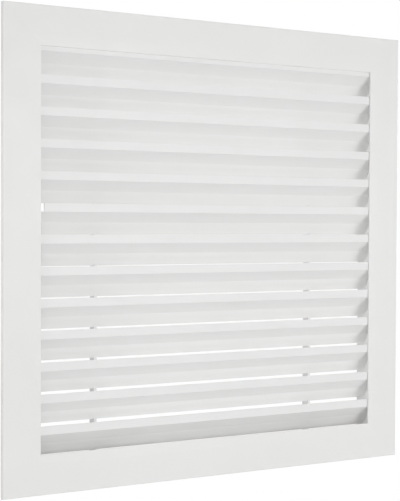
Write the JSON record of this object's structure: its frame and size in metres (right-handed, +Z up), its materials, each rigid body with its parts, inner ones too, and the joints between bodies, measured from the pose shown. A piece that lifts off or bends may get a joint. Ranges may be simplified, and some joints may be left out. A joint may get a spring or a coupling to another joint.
{
  "type": "wall grille",
  "caption": "Square white aluminium wall grille with a flat mitred flange, fixed slanting blades with upright noses, and a shallow square neck behind.",
  "frame": {"origin": "middle of the square opening, in the wall plane that the back of the flange meets", "axes": "+Y into the wall, along the neck; +Z up; +X to the right as seen from the room, along the blades"},
  "size_m": [0.382, 0.029, 0.382],
  "materials": {
    "frame_paint": "white powder coat, soft sheen",
    "blade_paint": "white powder coat, soft sheen",
    "carrier_paint": "white powder coat, soft sheen",
    "plain_aluminium": "plain mill finish"
  },
  "bodies": {
    "root": {"frame_top_rail": "frame_paint", "frame_bottom_rail": "frame_paint", "frame_left_stile": "frame_paint", "frame_right_stile": "frame_paint", "corner_key_top_left": "plain_aluminium", "corner_key_top_right": "plain_aluminium", "corner_key_bottom_left": "plain_aluminium", "corner_key_bottom_right": "plain_aluminium", "carrier_bar_left": "carrier_paint", "carrier_bar_right": "carrier_paint", "carrier_rivets": "plain_aluminium", "blade_01": "blade_paint", "blade_02": "blade_paint", "blade_03": "blade_paint", "blade_04": "blade_paint", "blade_05": "blade_paint", "blade_06": "blade_paint", "blade_07": "blade_paint", "blade_08": "blade_paint", "blade_09": "blade_paint", "blade_10": "blade_paint", "blade_11": "blade_paint", "blade_12": "blade_paint", "blade_13": "blade_paint"}
  },
  "joints": []
}
